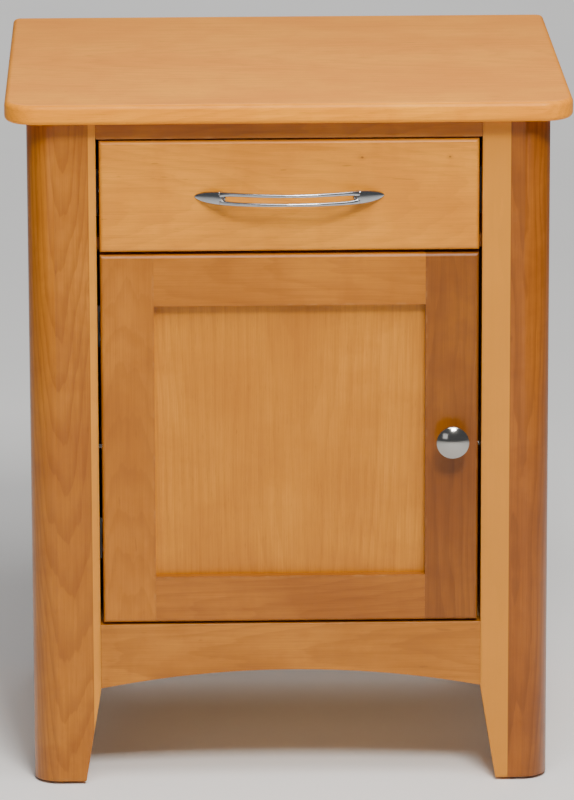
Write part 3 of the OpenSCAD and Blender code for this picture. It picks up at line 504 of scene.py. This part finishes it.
def pull_section(t):
    """The pull's half outline at t, 0 at the middle and 1 at a tip: the outer half height, the
    inner half height of the slot (0 where it is solid), and the thickness, in millimetres."""
    slot_end, leaf_start = PULL_SLOT_END, PULL_LEAF_START
    outer = 6.0 + 0.5 * math.sin(min(t / leaf_start, 1.0) * math.pi / 2)
    if t > leaf_start:
        outer *= math.sqrt(max(0.0, 1 - ((t - leaf_start) / (1 - leaf_start)) ** 2.1))
    inner = 0.0
    if t < slot_end:
        inner = 2.6 * math.sqrt(max(0.0, 1 - (t / slot_end) ** 12))
    thick = 4.0 - 1.2 * max(0.0, (t - leaf_start) / (1 - leaf_start))
    return outer, inner, thick


def build_pull(mesh):
    """Bow pull: two strands round a long slot, joined at leaf-shaped ends on two posts."""
    low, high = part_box("drawer_pull")
    middle_z = (low.z + high.z) / 2
    half = (high.x - low.x) / 2
    middle_x = (low.x + high.x) / 2
    reach = high.y - low.y
    bow = (half * half + reach * reach) / (2 * reach)
    half_angle = math.asin(half / bow)
    steps, sides = 120, 16
    shape = bmesh.new()

    def place(t, up, deep):
        """A point at t along the bow, up from its middle, and deep in from its outer face."""
        angle = t * half_angle
        radius = bow - deep
        return Vector((middle_x + radius * math.sin(angle),
                       high.y - reach + bow - radius * math.cos(angle), middle_z + up))

    def strand_ring(t, low_up, high_up, thick):
        verts = []
        for k in range(sides):
            turn = math.tau * k / sides
            c, s = math.cos(turn), math.sin(turn)
            power = 0.75
            up = (low_up + high_up) / 2 + (high_up - low_up) / 2 * math.copysign(abs(c) ** power, c)
            deep = thick / 2 - thick / 2 * math.copysign(abs(s) ** power, s)
            verts.append(shape.verts.new(place(t, up * MM, deep * MM)))
        return verts

    def skin(rings):
        for a, b in zip(rings, rings[1:]):
            for k in range(len(a)):
                n = (k + 1) % len(a)
                shape.faces.new((a[k], a[n], b[n], b[k]))
        shape.faces.new(rings[0][::-1])
        shape.faces.new(rings[-1])

    for side in (1, -1):
        rings = []
        for i in range(-steps, steps + 1):
            t = i / steps * PULL_STRAND_END
            outer, inner, thick = pull_section(abs(t))
            ends = sorted((side * max(inner, 0.2), side * (outer - 0.15)))
            rings.append(strand_ring(t, ends[0], ends[1], thick - 0.1))
        skin(rings)
    for side in (1, -1):
        rings = []
        for i in range(LEAF_STEPS + 1):
            t = PULL_LEAF_FROM + PULL_LEAF_LENGTH * i / LEAF_STEPS
            outer, _, thick = pull_section(t)
            fade = min(1.0, (t - PULL_LEAF_FROM) / PULL_FADE)
            outer = max(outer * (0.25 + 0.75 * fade), 0.25)
            rings.append(strand_ring(side * t, -outer, outer, thick))
        skin(rings)
    # Posts run from the drawer front up into the leaves.
    post_x = min(abs(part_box("drawer_pull_screws")[1].x), half) - 4 * MM
    for side in (1, -1):
        foot = Vector((middle_x + side * post_x, high.y, middle_z))
        t = math.asin(post_x / bow) / half_angle
        top = place(side * t, 0.0, 2.6 * MM)
        profile = [(4.6, 0.0), (4.9, 0.5), (4.6, 1.4), (3.9, 2.6), (3.7, 4.5), (4.0, 7.0)]
        height = (foot.y - top.y) / MM
        rings = []
        for radius, up in profile + [(4.2, height)]:
            up = min(up, height)
            ring = []
            for k in range(POST_SIDES):
                turn = math.tau * k / POST_SIDES
                out = Vector((radius * MM * math.cos(turn), -up * MM, radius * MM * math.sin(turn)))
                ring.append(shape.verts.new(foot + out))
            rings.append(ring)
        skin(rings)
    bmesh.ops.recalc_face_normals(shape, faces=shape.faces)
    shape.to_mesh(mesh)
    shape.free()


def make_handles():
    # The chrome's colour is set darker than bright chrome: painted shade that dims its reflections of the
    # pale floor.
    chrome = metal("chrome", "#a9abad", 0.13, spots=0.06)
    nickel = metal("satin_nickel", "#a3a19c", 0.13, spots=0.08)
    new_piece("sculpted_pull", build_pull, chrome, "drawer", "drawer_pull")
    new_piece("sculpted_knob", build_knob, nickel, "door", "door_knob")


# ---------- stage ----------

CAMERA_PLACE = (-0.1295, -5.60, 1.7249)
CAMERA_PITCH = 14.03
CAMERA_YAW = 1.39
CAMERA_ROLL = 0.18
CAMERA_LENS = 266.0


def make_stage():
    material = Graph("studio_floor")
    place = material.add("ShaderNodeTexCoord").outputs["Object"]
    mottle = material.noise(place, 3.0, 3.0)
    material.feed(material.shader.inputs["Base Color"],
                  material.mix(mottle, linear("#f4f3f1"), linear("#fbfaf8")))
    material.shader.inputs["Roughness"].default_value = 0.75
    mesh = bpy.data.meshes.new("studio_floor")
    half, tiles = 16.0, 8
    rim = [-half + 2 * half * i / tiles for i in range(tiles + 1)]
    verts = [(x, y, 0.0) for y in rim for x in rim]
    faces = []
    for row in range(tiles):
        for i in range(row * (tiles + 1), row * (tiles + 1) + tiles):
            faces.append((i, i + 1, i + tiles + 2, i + tiles + 1))
    mesh.from_pydata(verts, [], faces)
    mesh.materials.append(material.material)
    floor = bpy.data.objects.new("studio_floor", mesh)
    bpy.context.scene.collection.objects.link(floor)
    for polygon in mesh.polygons:
        polygon.use_smooth = True


def soft_light(name, place, target, size, power, colour=(1.0, 1.0, 1.0)):
    data = bpy.data.lights.new(name, "AREA")
    data.shape = "RECTANGLE"
    data.size, data.size_y = size
    data.energy = power
    data.color = colour
    light = bpy.data.objects.new(name, data)
    light.location = place
    light.rotation_euler = (Vector(target) - Vector(place)).to_track_quat("-Z", "Y").to_euler()
    bpy.context.scene.collection.objects.link(light)


def make_lights():
    middle = (0.0, 0.0, 0.35)
    soft_light("key", (0.45, -2.4, 2.75), middle, (0.9, 0.7), 105.0, (1.0, 0.98, 0.95))
    soft_light("over", (0.25, -0.95, 2.3), (0.0, -0.1, 0.4), (1.5, 0.8), 34.0, (1.0, 0.99, 0.97))
    soft_light("fill", (-1.6, -3.2, 1.4), middle, (1.2, 1.2), 6.0)
    soft_light("floor_wash", (0.0, 4.4, 3.6), (0.0, 4.5, 0.0), (3.0, 3.0), 90.0)
    world = bpy.data.worlds.new("studio")
    world.use_nodes = True
    background = world.node_tree.nodes["Background"]
    background.inputs["Color"].default_value = (0.93, 0.95, 1.0, 1.0)
    background.inputs["Strength"].default_value = 0.16
    bpy.context.scene.world = world


def make_camera():
    data = bpy.data.cameras.new("camera")
    data.lens = CAMERA_LENS
    data.clip_start, data.clip_end = 0.1, 100.0
    camera = bpy.data.objects.new("camera", data)
    camera.rotation_mode = "XYZ"
    camera.location = CAMERA_PLACE
    forward_tilt = math.radians(90 - CAMERA_PITCH)
    camera.rotation_euler = (forward_tilt, math.radians(CAMERA_ROLL), -math.radians(CAMERA_YAW))
    bpy.context.scene.collection.objects.link(camera)
    bpy.context.scene.camera = camera


dress_boards()
dress_hardware()
make_handles()
make_stage()
make_lights()
make_camera()
